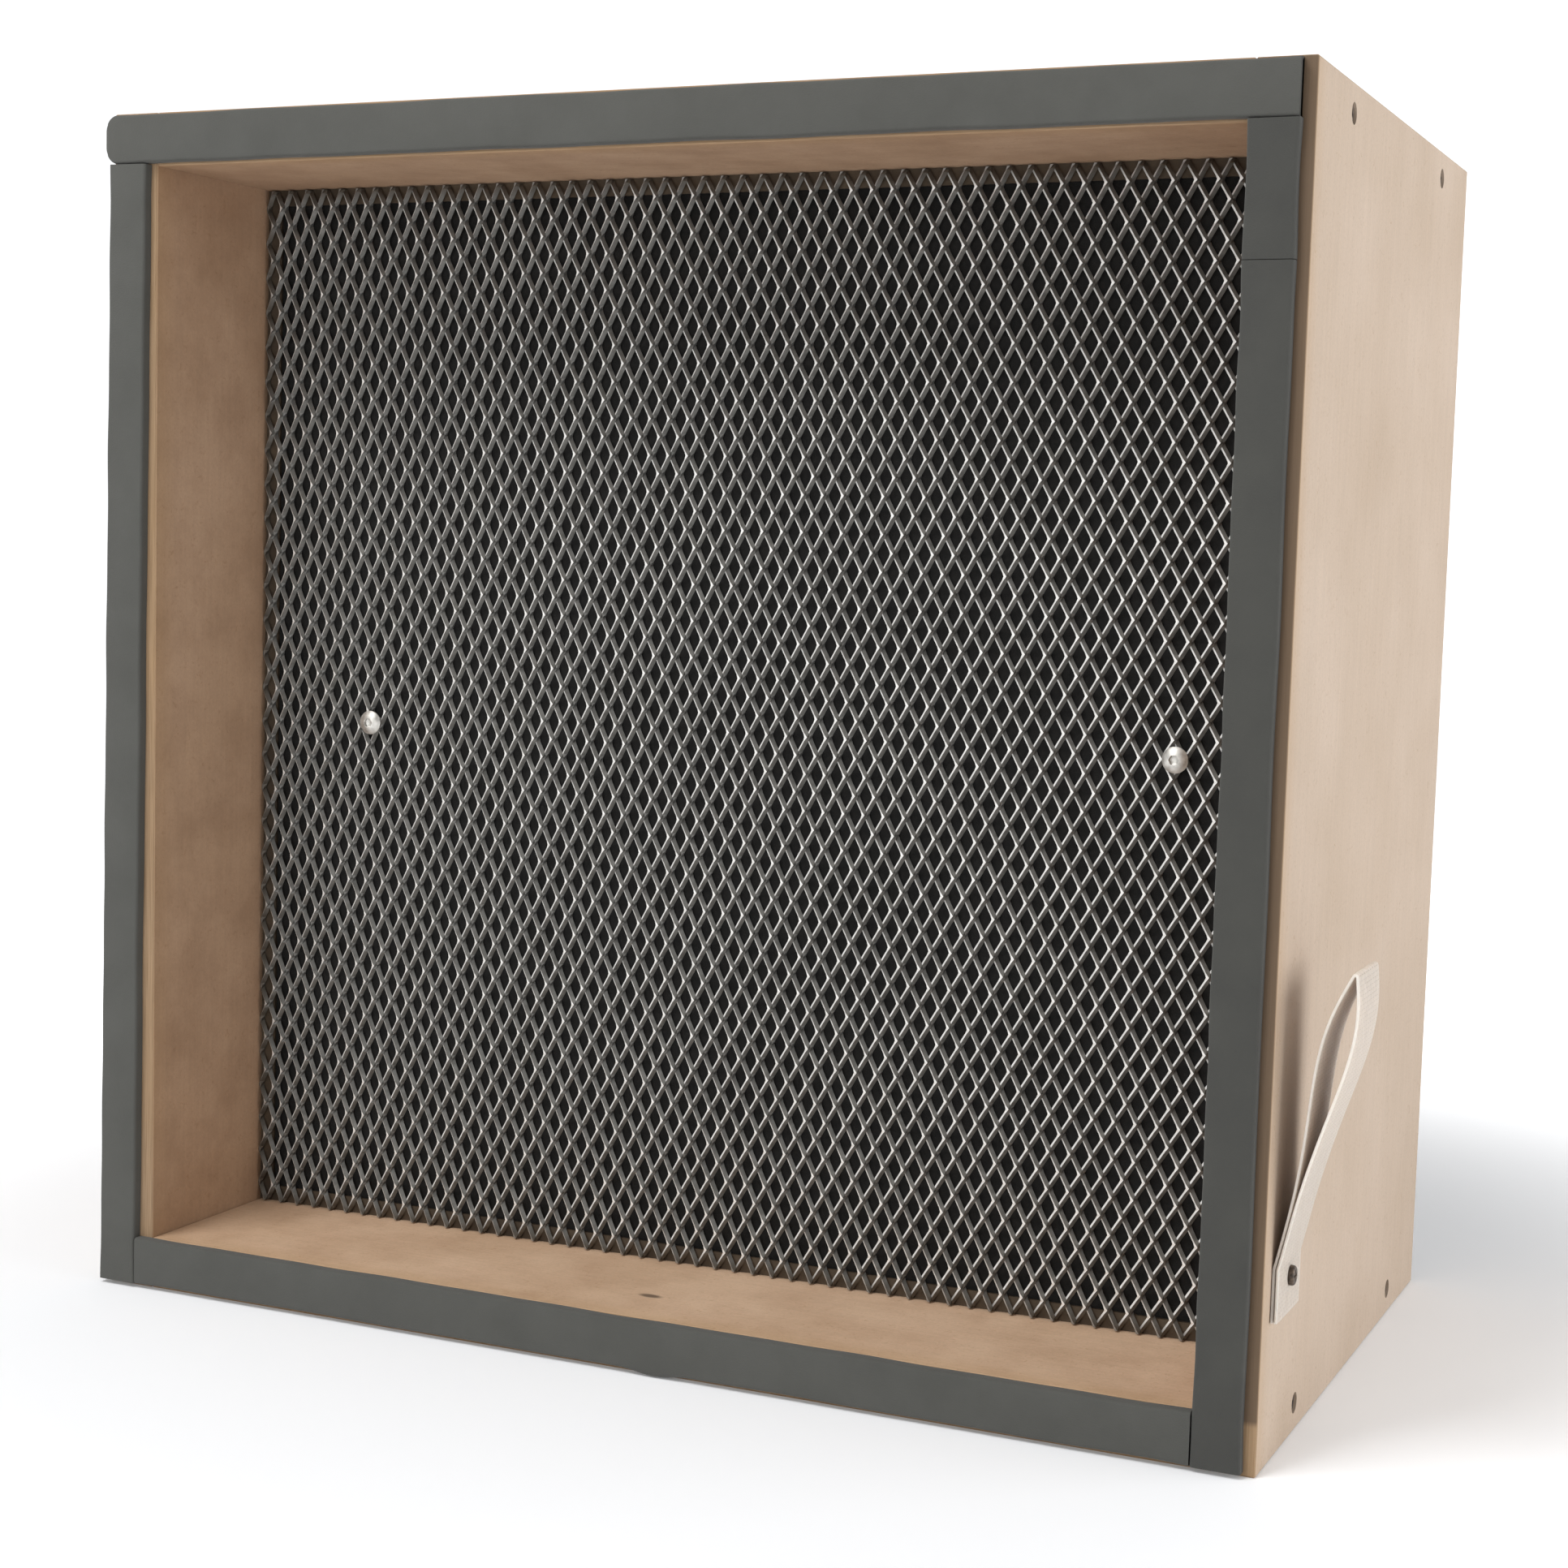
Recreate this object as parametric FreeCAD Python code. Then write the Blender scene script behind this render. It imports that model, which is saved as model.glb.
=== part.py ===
# Carbon filter block of a fume extractor: a fibreboard case with a bed of
# granules between two raised expanded metal sheets, a foam gasket on the rim of
# the inlet side and one webbing pull loop on the right side.
# Millimetres. Z is up, the inlet side faces -Y, the origin is the middle of the base.
import FreeCAD, Part
import math
import os

# Case
case_width = 440.0
case_height = 433.0
case_depth = 250.0
board = 19.0
arris = 0.5

# Foam gasket on the rim of the inlet side, stuck on by hand
gasket_thickness = 4.0
gasket_width = 17.5
gasket_side_width = 16.2
gasket_edge_radius = 0.9
gasket_joint = 0.2
gasket_top_drop = 0.8
gasket_top_overhang = 0.6
gasket_top_nose = 4.5
gasket_nose_cut = 0.3
gasket_top_short = 4.4
gasket_left_inset_top = 0.5
gasket_left_overhang_bottom = 2.6
gasket_right_inset = 3.9
gasket_right_joint_drop = 60.0
gasket_bottom_lift = 1.6
gasket_bulge_x = 12.0
gasket_bulge_width = 27.0
gasket_bulge_drop = 1.4
gasket_bulge_steps = 6

# Bed: both sheets lie on a ring of battens glued to the boards
front_recess = 65.0
rear_recess = 20.0
batten_width = 6.0
batten_depth = 18.0
fleece_thickness = 3.0

# Raised expanded metal, drawn with few large diamonds
sheet_metal = 1.0
sheet_depth = 3.5
sheet_clearance = 0.6
diamond_width = 50.0
diamond_height = 96.0
strand_width = 8.6
bond_length = 15.0
bond_longest = 0.8

# Tie bolts through the bed
tie_left_from_side = 70.5
tie_right_from_side = 53.0
tie_left_height = 212.0
tie_right_height = 216.5
tie_diameter = 5.0
tie_head_diameter = 9.0
tie_head_height = 2.6
tie_head_rim = 0.7
tie_socket = 3.0
tie_socket_depth = 1.5
tie_end = 3.0
washer_diameter = 15.0
washer_thickness = 1.2
nut_across_flats = 8.0
nut_thickness = 4.0

# Connector screws with a parallel head, from the side boards into the top and bottom boards
screw_inset = 50.0
screw_length = 46.0
screw_diameter = 6.4
screw_sunk = 0.8
round_clearance = 0.3

# Pull loop: one webbing strap folded in two, both ends under one screw
strap_width = 30.0
strap_thickness = 1.2
strap_inset = 9.5
strap_bottom = 47.0
strap_screw_height = 59.0
strap_bend_height = 64.0
strap_tip_height = 158.0
strap_tip_out = 21.5
strap_lean_power = 1.15
strap_opening = 6.6
strap_opening_power = 1.6
strap_parting = 0.2
strap_slot_start = 0.26
strap_slot_end = 0.985
strap_points = 7
strap_screw_diameter = 4.0
strap_screw_length = 18.0
strap_head_diameter = 6.5
strap_head_height = 1.8
strap_head_flat = 4.5
strap_head_rim = 0.8

# Places worked out from the sizes above
half_width = case_width / 2
front_y = -case_depth / 2
rear_y = case_depth / 2
rim_y = front_y - gasket_thickness
inner_half_width = half_width - board
inner_bottom = board
inner_top = case_height - board
front_sheet_y = front_y + front_recess
front_batten_y = front_sheet_y + sheet_depth
rear_sheet_y = rear_y - rear_recess
rear_batten_y = rear_sheet_y - sheet_depth
tie_left = (-half_width + tie_left_from_side, tie_left_height)
tie_right = (half_width - tie_right_from_side, tie_right_height)
tie_hole_radius = tie_diameter / 2 + round_clearance


def block(x0, x1, y0, y1, z0, z1):
    """Box between two opposite corners."""
    corner = FreeCAD.Vector(x0, y0, z0)
    return Part.makeBox(x1 - x0, y1 - y0, z1 - z0, corner)


def rod(radius, length, base, direction):
    """Cylinder from a base point along a direction."""
    return Part.makeCylinder(radius, length, FreeCAD.Vector(*base), FreeCAD.Vector(*direction))


def prism_y(points, y0, y1):
    """Straight-sided plate from (x, z) corners, between two depths."""
    corners = [FreeCAD.Vector(x, y0, z) for x, z in points]
    face = Part.Face(Part.makePolygon(corners + corners[:1]))
    return face.extrude(FreeCAD.Vector(0, y1 - y0, 0))


def turned(profile, base, direction):
    """Solid of revolution from (radius, height) corners, set at a base along a direction."""
    corners = [FreeCAD.Vector(radius, 0, height) for radius, height in profile]
    face = Part.Face(Part.makePolygon(corners + corners[:1]))
    solid = face.revolve(FreeCAD.Vector(0, 0, 0), FreeCAD.Vector(0, 0, 1), 360)
    turn = FreeCAD.Rotation(FreeCAD.Vector(0, 0, 1), FreeCAD.Vector(*direction))
    solid.Placement = FreeCAD.Placement(FreeCAD.Vector(*base), turn)
    return solid


def sawn_board(x0, x1, z0, z1):
    """One board of the case over the full depth, with its sharp edges taken off."""
    plate = block(x0, x1, front_y, rear_y, z0, z1)
    return plate.makeChamfer(arris, plate.Edges)


def corner_screw_places():
    """Depth and height of the four screws in each side board."""
    depths = [front_y + screw_inset, rear_y - screw_inset]
    heights = [board / 2, case_height - board / 2]
    return [(y, z) for y in depths for z in heights]


def corner_screw(side, y, z):
    """Screw sunk below the face of a side board; side is -1 or 1."""
    start = side * (half_width - screw_sunk)
    return rod(screw_diameter / 2, screw_length, (start, y, z), (-side, 0, 0))


def corner_screw_hole(side, y, z):
    """Drilled hole for one screw, through the side board and into the end of the next board."""
    depth = screw_sunk + screw_length + round_clearance
    return rod(screw_diameter / 2 + round_clearance, depth, (side * half_width, y, z), (-side, 0, 0))


def side_board(side):
    """Side board, which covers the ends of the top and bottom boards."""
    inner = side * inner_half_width
    outer = side * half_width
    plate = sawn_board(min(inner, outer), max(inner, outer), 0, case_height)
    for y, z in corner_screw_places():
        plate = plate.cut(corner_screw_hole(side, y, z))
    if side > 0:
        plate = plate.cut(strap_screw_hole())
    return plate


def cross_board(z0, z1):
    """Top or bottom board, held between the side boards."""
    plate = sawn_board(-inner_half_width, inner_half_width, z0, z1)
    for side in (-1, 1):
        for y, z in corner_screw_places():
            plate = plate.cut(corner_screw_hole(side, y, z))
    return plate


def batten(place, y0):
    """One strip of the ring that a sheet lies on."""
    y1 = y0 + batten_depth
    if place == "top":
        return block(-inner_half_width, inner_half_width, y0, y1, inner_top - batten_width, inner_top)
    if place == "bottom":
        return block(-inner_half_width, inner_half_width, y0, y1, inner_bottom, inner_bottom + batten_width)
    side = -1 if place == "left" else 1
    inner = side * (inner_half_width - batten_width)
    outer = side * inner_half_width
    low = inner_bottom + batten_width
    high = inner_top - batten_width
    return block(min(inner, outer), max(inner, outer), y0, y1, low, high)


def strand_section(x, y, z):
    """Corners of a strand cut level: a strip that runs back as it goes right."""
    rise = (sheet_depth - sheet_metal) / 2
    half = strand_width / 2
    return [
        FreeCAD.Vector(x - half, y, z),
        FreeCAD.Vector(x + half, y + rise, z),
        FreeCAD.Vector(x + half, y + rise + sheet_metal, z),
        FreeCAD.Vector(x - half, y + sheet_metal, z),
    ]


def strand_between(sections):
    """Solid through level sections that are moved copies of each other."""
    faces = []
    for low, high in zip(sections[:-1], sections[1:]):
        for i in range(4):
            j = (i + 1) % 4
            corners = [low[i], low[j], high[j], high[i]]
            faces.append(Part.Face(Part.makePolygon(corners + corners[:1])))
    floor = sections[0][::-1]
    roof = sections[-1]
    faces.append(Part.Face(Part.makePolygon(floor + floor[:1])))
    faces.append(Part.Face(Part.makePolygon(roof + roof[:1])))
    return Part.makeSolid(Part.makeShell(faces))


def expanded_sheet(y0):
    """Raised expanded metal: zigzag strands that are bonded to each neighbour in turn."""
    left = -inner_half_width + sheet_clearance
    low = inner_bottom + sheet_clearance
    width = 2 * (inner_half_width - sheet_clearance)
    height = inner_top - sheet_clearance - low
    strands = max(2, round(2 * width / diamond_width))
    levels = max(2, 2 * round(height / diamond_height))
    pitch = width / strands
    step = height / levels
    lean = (sheet_depth - sheet_metal) / 2
    half_bond = min(bond_length, step * bond_longest) / 2
    pieces = []
    for i in range(strands):
        sections = []
        for k in range(levels + 1):
            to_right = (i + k) % 2 == 0
            if to_right:
                x = left + (i + 1) * pitch - strand_width / 2
                y = y0
            else:
                x = left + i * pitch + strand_width / 2
                y = y0 + lean
            z = low + k * step
            if k > 0:
                sections.append(strand_section(x, y, z - half_bond))
            if k < levels:
                sections.append(strand_section(x, y, z + half_bond))
            if k in (0, levels):
                sections.insert(0 if k == 0 else len(sections), strand_section(x, y, z))
        pieces.append(strand_between(sections))
    sheet = pieces[0].multiFuse(pieces[1:]).removeSplitter()
    return with_tie_holes(sheet)


def with_tie_holes(solid):
    """Cut the two tie bolt holes through the whole depth."""
    for x, z in (tie_left, tie_right):
        solid = solid.cut(rod(tie_hole_radius, case_depth, (x, front_y, z), (0, 1, 0)))
    return solid


def bed_window(y0, y1):
    """Block that fills the window inside a ring of battens."""
    half = inner_half_width - batten_width
    return block(-half, half, y0, y1, inner_bottom + batten_width, inner_top - batten_width)


def carbon_bed():
    """Granules: the full section between the rings, and the windows up to the fleeces."""
    wide_front = front_batten_y + batten_depth
    wide_rear = rear_batten_y - batten_depth
    bed = block(-inner_half_width, inner_half_width, wide_front, wide_rear, inner_bottom, inner_top)
    bed = bed.fuse(bed_window(front_batten_y + fleece_thickness, wide_front))
    bed = bed.fuse(bed_window(wide_rear, rear_batten_y - fleece_thickness))
    return with_tie_holes(bed.removeSplitter())


def tie_bolt(x, z):
    """Dome-headed bolt with a hexagon socket, from the inlet side to behind the rear nut."""
    length = rear_sheet_y + washer_thickness + nut_thickness + tie_end - front_sheet_y
    rim = tie_head_diameter / 2
    shank = tie_diameter / 2
    rise = tie_head_height - tie_head_rim
    dome = (rim * rim + rise * rise) / (2 * rise)
    half_angle = math.asin(rim / dome) / 2
    crown = FreeCAD.Vector(0, 0, -tie_head_height)
    shoulder = FreeCAD.Vector(rim, 0, -tie_head_rim)
    drop = dome * (1 - math.cos(half_angle))
    middle = FreeCAD.Vector(dome * math.sin(half_angle), 0, drop - tie_head_height)
    edges = [
        Part.Arc(crown, middle, shoulder).toShape(),
        Part.makeLine(shoulder, FreeCAD.Vector(rim, 0, 0)),
        Part.makeLine(FreeCAD.Vector(rim, 0, 0), FreeCAD.Vector(shank, 0, 0)),
        Part.makeLine(FreeCAD.Vector(shank, 0, 0), FreeCAD.Vector(shank, 0, length)),
        Part.makeLine(FreeCAD.Vector(shank, 0, length), FreeCAD.Vector(0, 0, length)),
        Part.makeLine(FreeCAD.Vector(0, 0, length), crown),
    ]
    bolt = Part.Face(Part.Wire(edges)).revolve(FreeCAD.Vector(0, 0, 0), FreeCAD.Vector(0, 0, 1), 360)
    socket = hexagon(tie_socket, tie_socket_depth, -tie_head_height)
    bolt = bolt.cut(socket)
    turn = FreeCAD.Rotation(FreeCAD.Vector(0, 0, 1), FreeCAD.Vector(0, 1, 0))
    bolt.Placement = FreeCAD.Placement(FreeCAD.Vector(x, front_sheet_y, z), turn)
    return bolt


def hexagon(across_flats, thickness, z0):
    """Six-sided prism along Z from z0."""
    radius = across_flats / math.sqrt(3)
    corners = []
    for i in range(6):
        angle = math.radians(60 * i)
        corners.append(FreeCAD.Vector(radius * math.cos(angle), radius * math.sin(angle), z0))
    return Part.Face(Part.makePolygon(corners + corners[:1])).extrude(FreeCAD.Vector(0, 0, thickness))


def tie_washer(x, z):
    """Flat washer on the rear sheet."""
    base = (x, rear_sheet_y, z)
    plate = rod(washer_diameter / 2, washer_thickness, base, (0, 1, 0))
    return plate.cut(rod(tie_hole_radius, washer_thickness, base, (0, 1, 0)))


def tie_nut(x, z):
    """Hexagon nut on the washer."""
    nut = hexagon(nut_across_flats, nut_thickness, 0)
    nut = nut.cut(rod(tie_diameter / 2 + round_clearance / 3, nut_thickness, (0, 0, 0), (0, 0, 1)))
    turn = FreeCAD.Rotation(FreeCAD.Vector(0, 0, 1), FreeCAD.Vector(0, 1, 0))
    nut.Placement = FreeCAD.Placement(
        FreeCAD.Vector(x, rear_sheet_y + washer_thickness, z), turn)
    return nut


def foam_strip(points):
    """Flat foam strip on the rim, from its (x, z) corners, with eased front edges."""
    strip = prism_y(points, rim_y, front_y)
    radius = min(gasket_edge_radius, gasket_thickness / 3)
    front = [edge for edge in strip.Edges if edge.BoundBox.YMax < rim_y + 0.01]
    return strip.makeFillet(radius, front)


def gasket_top():
    """Top strip: a blunt nose past the left edge, short of the right edge."""
    left = -half_width - gasket_top_overhang
    right = half_width - gasket_top_short
    high = case_height - gasket_top_drop
    low = high - gasket_width
    nose = gasket_top_nose
    cut = nose * gasket_nose_cut
    points = [
        (left + nose, low),
        (right, low),
        (right, high),
        (left + nose, high),
        (left + cut, high - cut),
        (left, high - nose),
        (left, low + nose),
        (left + cut, low + cut),
    ]
    return foam_strip(points)


def side_strip_top():
    """Height at which the side strips butt against the top one."""
    return case_height - gasket_top_drop - gasket_width - gasket_joint


def gasket_left():
    """Left strip, which runs out past the board towards its lower end."""
    low_left = -half_width - gasket_left_overhang_bottom
    high_left = -half_width + gasket_left_inset_top
    low = gasket_bottom_lift
    high = side_strip_top()
    low_right = low_left + gasket_side_width
    high_right = high_left + gasket_side_width
    return foam_strip([(low_left, low), (low_right, low), (high_right, high), (high_left, high)])


def gasket_right(upper):
    """Right strip, in two lengths that butt below the top corner."""
    right = half_width - gasket_right_inset
    left = right - gasket_side_width
    joint = case_height - gasket_right_joint_drop
    low = joint + gasket_joint / 2 if upper else gasket_bottom_lift
    high = side_strip_top() if upper else joint - gasket_joint / 2
    return foam_strip([(left, low), (right, low), (right, high), (left, high)])


def gasket_bottom():
    """Bottom strip between the side strips, with a bulge under its middle."""
    left = -half_width - gasket_left_overhang_bottom + gasket_side_width
    lean = (gasket_left_overhang_bottom + gasket_left_inset_top) / (side_strip_top() - gasket_bottom_lift)
    low = gasket_bottom_lift
    high = low + gasket_width
    low_left = left + gasket_joint
    high_left = low_left + lean * gasket_width
    right = half_width - gasket_right_inset - gasket_side_width - gasket_joint
    points = [(low_left, low)]
    for i in range(gasket_bulge_steps + 1):
        x = gasket_bulge_x + gasket_bulge_width * (i / gasket_bulge_steps - 0.5)
        drop = gasket_bulge_drop * math.sin(math.pi * i / gasket_bulge_steps) ** 2
        points.append((x, low - drop))
    points += [(right, low), (right, high), (high_left, high)]
    return foam_strip(points)


def strap_lean(share):
    """Distance from the board to the middle of the loop, from its bend to its tip."""
    return strap_thickness + (strap_tip_out - strap_thickness) * share ** strap_lean_power


def strap_gap(share):
    """Gap between the two plies: none near the bend and at the fold, widest above the middle."""
    if share <= strap_parting:
        return 0.0
    above = (share - strap_parting) / (1 - strap_parting)
    return strap_opening * math.sin(math.pi * above ** strap_opening_power)


def strap_curve(offset_side, ply, shares):
    """Smooth line up one surface of a ply; ply is the thickness outside the gap."""
    points = []
    for share in shares:
        x = half_width + strap_lean(share) + offset_side * (strap_gap(share) / 2 + ply)
        z = strap_bend_height + (strap_tip_height - strap_bend_height) * share
        points.append(FreeCAD.Vector(x, 0, z))
    curve = Part.BSplineCurve()
    curve.interpolate(points)
    return curve.toShape(), points[0], points[-1]


def pull_strap():
    """Webbing strap folded into a pointed loop that stands away from the side board."""
    full = [i / strap_points for i in range(strap_points + 1)]
    inner, inner_low, inner_high = strap_curve(-1, strap_thickness, full)
    outer, outer_low, outer_high = strap_curve(1, strap_thickness, full)
    foot_in = FreeCAD.Vector(inner_low.x, 0, strap_bottom)
    foot_out = FreeCAD.Vector(outer_low.x, 0, strap_bottom)
    fold = FreeCAD.Vector((inner_high.x + outer_high.x) / 2, 0, inner_high.z + strap_thickness)
    outline = Part.Wire([
        Part.makeLine(foot_in, inner_low),
        inner,
        Part.Arc(inner_high, fold, outer_high).toShape(),
        outer,
        Part.makeLine(outer_low, foot_out),
        Part.makeLine(foot_out, foot_in),
    ])
    strap = Part.Face(outline).extrude(FreeCAD.Vector(0, strap_width, 0))
    slot = strap_slot_end - strap_slot_start
    part_shares = [strap_slot_start + slot * i / strap_points for i in range(strap_points + 1)]
    near, near_low, near_high = strap_curve(-1, 0, part_shares)
    far, far_low, far_high = strap_curve(1, 0, part_shares)
    gap_outline = Part.Wire([
        near,
        Part.makeLine(near_high, far_high),
        far,
        Part.makeLine(far_low, near_low),
    ])
    strap = strap.cut(Part.Face(gap_outline).extrude(FreeCAD.Vector(0, strap_width, 0)))
    strap.translate(FreeCAD.Vector(0, front_y + strap_inset, 0))
    return strap.cut(strap_screw_hole())


def strap_screw_axis():
    """Point on the side board where the strap screw goes in."""
    return half_width, front_y + strap_inset + strap_width / 2, strap_screw_height


def strap_screw():
    """Pan-head screw through both ends of the strap."""
    seat = 2 * strap_thickness
    head = strap_head_diameter / 2
    shank = strap_screw_diameter / 2
    profile = [
        (0, -seat - strap_head_height),
        (strap_head_flat / 2, -seat - strap_head_height),
        (head, -seat - strap_head_rim),
        (head, -seat),
        (shank, -seat),
        (shank, strap_screw_length - seat),
        (0, strap_screw_length - seat),
    ]
    return turned(profile, strap_screw_axis(), (-1, 0, 0))


def strap_screw_hole():
    """Hole for the strap screw, from clear of the strap into the side board."""
    x, y, z = strap_screw_axis()
    start = x + 3 * strap_thickness
    depth = strap_screw_length + strap_thickness + round_clearance
    return rod(strap_screw_diameter / 2 + round_clearance, depth, (start, y, z), (-1, 0, 0))


def save(name, shape):
    """Write one named piece and print its size."""
    shape.exportStep("parts/" + name + ".step")
    print(name, "solids", len(shape.Solids), "cm3", round(shape.Volume / 1000, 2), "valid", shape.isValid())


def main():
    os.makedirs("parts", exist_ok=True)
    save("left_side_board", side_board(-1))
    save("right_side_board", side_board(1))
    save("top_board", cross_board(inner_top, case_height))
    save("bottom_board", cross_board(0, inner_bottom))
    for place in ("top", "bottom", "left", "right"):
        save("front_batten_" + place, batten(place, front_batten_y))
        save("rear_batten_" + place, batten(place, rear_batten_y - batten_depth))
    save("front_mesh", expanded_sheet(front_sheet_y))
    save("rear_mesh", expanded_sheet(rear_batten_y))
    front_fleece = bed_window(front_batten_y, front_batten_y + fleece_thickness)
    save("front_fleece", with_tie_holes(front_fleece))
    rear_fleece = bed_window(rear_batten_y - fleece_thickness, rear_batten_y)
    save("rear_fleece", with_tie_holes(rear_fleece))
    save("carbon_bed", carbon_bed())
    save("left_tie_bolt", tie_bolt(*tie_left))
    save("right_tie_bolt", tie_bolt(*tie_right))
    save("tie_washers", Part.makeCompound([tie_washer(*tie_left), tie_washer(*tie_right)]))
    save("tie_nuts", Part.makeCompound([tie_nut(*tie_left), tie_nut(*tie_right)]))
    screws = [corner_screw(side, y, z) for side in (-1, 1) for y, z in corner_screw_places()]
    save("corner_screws", Part.makeCompound(screws))
    save("gasket_top", gasket_top())
    save("gasket_left", gasket_left())
    save("gasket_right_upper", gasket_right(True))
    save("gasket_right_lower", gasket_right(False))
    save("gasket_bottom", gasket_bottom())
    save("pull_strap", pull_strap())
    save("strap_screw", strap_screw())


main()
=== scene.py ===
import bpy
import bmesh
import math
import numpy as np
from mathutils import Matrix, Vector


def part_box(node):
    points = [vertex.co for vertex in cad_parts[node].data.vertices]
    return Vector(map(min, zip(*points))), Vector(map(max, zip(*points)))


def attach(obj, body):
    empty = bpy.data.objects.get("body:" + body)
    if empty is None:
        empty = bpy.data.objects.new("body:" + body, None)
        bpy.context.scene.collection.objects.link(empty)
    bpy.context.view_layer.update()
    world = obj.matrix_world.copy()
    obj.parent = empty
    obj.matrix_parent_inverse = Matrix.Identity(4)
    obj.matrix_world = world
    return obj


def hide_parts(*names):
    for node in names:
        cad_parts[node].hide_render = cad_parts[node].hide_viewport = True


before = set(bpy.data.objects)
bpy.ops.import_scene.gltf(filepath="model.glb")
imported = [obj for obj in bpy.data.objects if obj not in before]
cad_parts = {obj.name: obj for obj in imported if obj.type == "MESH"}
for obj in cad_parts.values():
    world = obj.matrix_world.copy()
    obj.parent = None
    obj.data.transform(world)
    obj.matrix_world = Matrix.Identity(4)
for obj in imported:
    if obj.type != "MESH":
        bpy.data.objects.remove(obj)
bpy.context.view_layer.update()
mm = 0.001
weldDistance = 1e-6  # metres within which corners are merged


# Helpers

def hexColour(code):
    # sRGB hex to linear red, green, blue: divide by 12.92 in the dark toe, else a 2.4 power
    channels = np.array([int(code[i:i + 2], 16) for i in (1, 3, 5)]) / 255
    linear = np.where(channels <= 0.04045, channels / 12.92, ((channels + 0.055) / 1.055) ** 2.4)
    return (*linear.tolist(), 1.0)


def joinSockets(tree, node, links):
    # links outputs to a node's named or numbered sockets; a node stands for its first live output
    for socket, source in links.items():
        if isinstance(source, bpy.types.Node):
            source = next(output for output in source.outputs if output.enabled)
        tree.links.new(source, node.inputs[socket])


def addNode(tree, kind, values=None, links=None, stops=(), **settings):
    # one node with its settings, its socket values, the links that come into it and, on a colour
    # ramp, its stops as (position, colour), where a colour is sRGB hex or already linear
    node = tree.nodes.new("ShaderNode" + kind)
    for name, value in settings.items():
        setattr(node, name, value)
    for socket, value in (values or {}).items():
        node.inputs[socket].default_value = value
    for number, (position, colour) in enumerate(stops):
        element = node.color_ramp.elements[number]
        element.color = hexColour(colour) if isinstance(colour, str) else colour
        element.position = position
    joinSockets(tree, node, links or {})
    return node


def distanceFrom(tree, middle, source):
    # how far a coordinate lies from a middle value, to either side of it
    if middle:
        source = addNode(tree, "Math", {1: middle}, {0: source}, operation="SUBTRACT")
    return addNode(tree, "Math", links={0: source}, operation="ABSOLUTE")


def newMaterial(name, **sockets):
    # a material with one Principled shader, whose constants sit on its own sockets
    material = bpy.data.materials.new(name)
    material.use_nodes = True
    shader = material.node_tree.nodes["Principled BSDF"]
    for socket, value in sockets.items():
        shader.inputs[socket.replace("_", " ")].default_value = value
    return material, material.node_tree, shader


def gridQuads(rows, columns, wrapRows=False, wrapColumns=True):
    # corner numbers of the quads of a rows by columns grid, closed round where it wraps
    i = np.arange(rows if wrapRows else rows - 1)[:, None]
    j = np.arange(columns if wrapColumns else columns - 1)[None, :]
    a = i * columns + j
    b = i * columns + (j + 1) % columns
    c = (i + 1) % rows * columns + (j + 1) % columns
    d = (i + 1) % rows * columns + j
    return np.stack([a, b, c, d], axis=-1).reshape(-1, 4)


def makePiece(name, points, quads, material, nodes, uv=None, sharpAngle=35, weld=True):
    # puts arrays in millimetres into a mesh in metres; doubles are merged, which closes the poles
    mesh = bpy.data.meshes.new(name)
    points = np.asarray(points, dtype=np.float64).reshape(-1, 3) * mm
    mesh.vertices.add(len(points))
    mesh.vertices.foreach_set("co", points.ravel())
    mesh.loops.add(quads.size)
    mesh.loops.foreach_set("vertex_index", quads.ravel().astype(np.int32))
    mesh.polygons.add(len(quads))
    mesh.polygons.foreach_set("loop_start", np.arange(0, quads.size, 4, dtype=np.int32))
    mesh.update(calc_edges=True)
    if uv is not None:
        layer = mesh.uv_layers.new(name="UVMap")
        layer.data.foreach_set("uv", np.asarray(uv)[quads.ravel()].ravel())
    if weld:
        shell = bmesh.new()
        shell.from_mesh(mesh)
        bmesh.ops.remove_doubles(shell, verts=shell.verts, dist=weldDistance)
        bmesh.ops.recalc_face_normals(shell, faces=shell.faces)
        shell.to_mesh(mesh)
        shell.free()
    mesh.polygons.foreach_set("use_smooth", np.full(len(mesh.polygons), sharpAngle > 0))
    if sharpAngle > 0:
        mesh.set_sharp_from_angle(angle=math.radians(sharpAngle))
    mesh.materials.append(material)
    piece = bpy.data.objects.new(name, mesh)
    bpy.context.scene.collection.objects.link(piece)
    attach(piece, "root")
    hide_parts(*nodes)
    print("piece", name, len(mesh.polygons), "faces")
    return piece


def dressNode(node, material):
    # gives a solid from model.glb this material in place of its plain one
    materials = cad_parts[node].data.materials
    materials.clear()
    materials.append(material)


def boxOf(node):
    # lowest and highest corner of a node, in millimetres
    low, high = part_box(node)
    return np.array(low) / mm, np.array(high) / mm


sideHigh = boxOf("right_side_board")[1]
innerHigh = boxOf("bottom_board")[1]
cadCase = {
    "halfWidth": sideHigh[0],
    "halfDepth": sideHigh[1],
    "height": sideHigh[2],
    "innerHalfWidth": innerHigh[0],
    "innerHalfHeight": sideHigh[2] / 2 - innerHigh[2],
}


# Camera, fitted to the edges of the case in the photograph

camera = {
    "place": (0.404134, -0.907366, 0.286584),  # metres
    "forward": (-0.40722655, 0.90853125, -0.09347464),
    "roll": 1.572,  # degrees
    "lens": 60.135,  # mm, as the sensor's width
    "sensor": 36.0,
}


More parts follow.
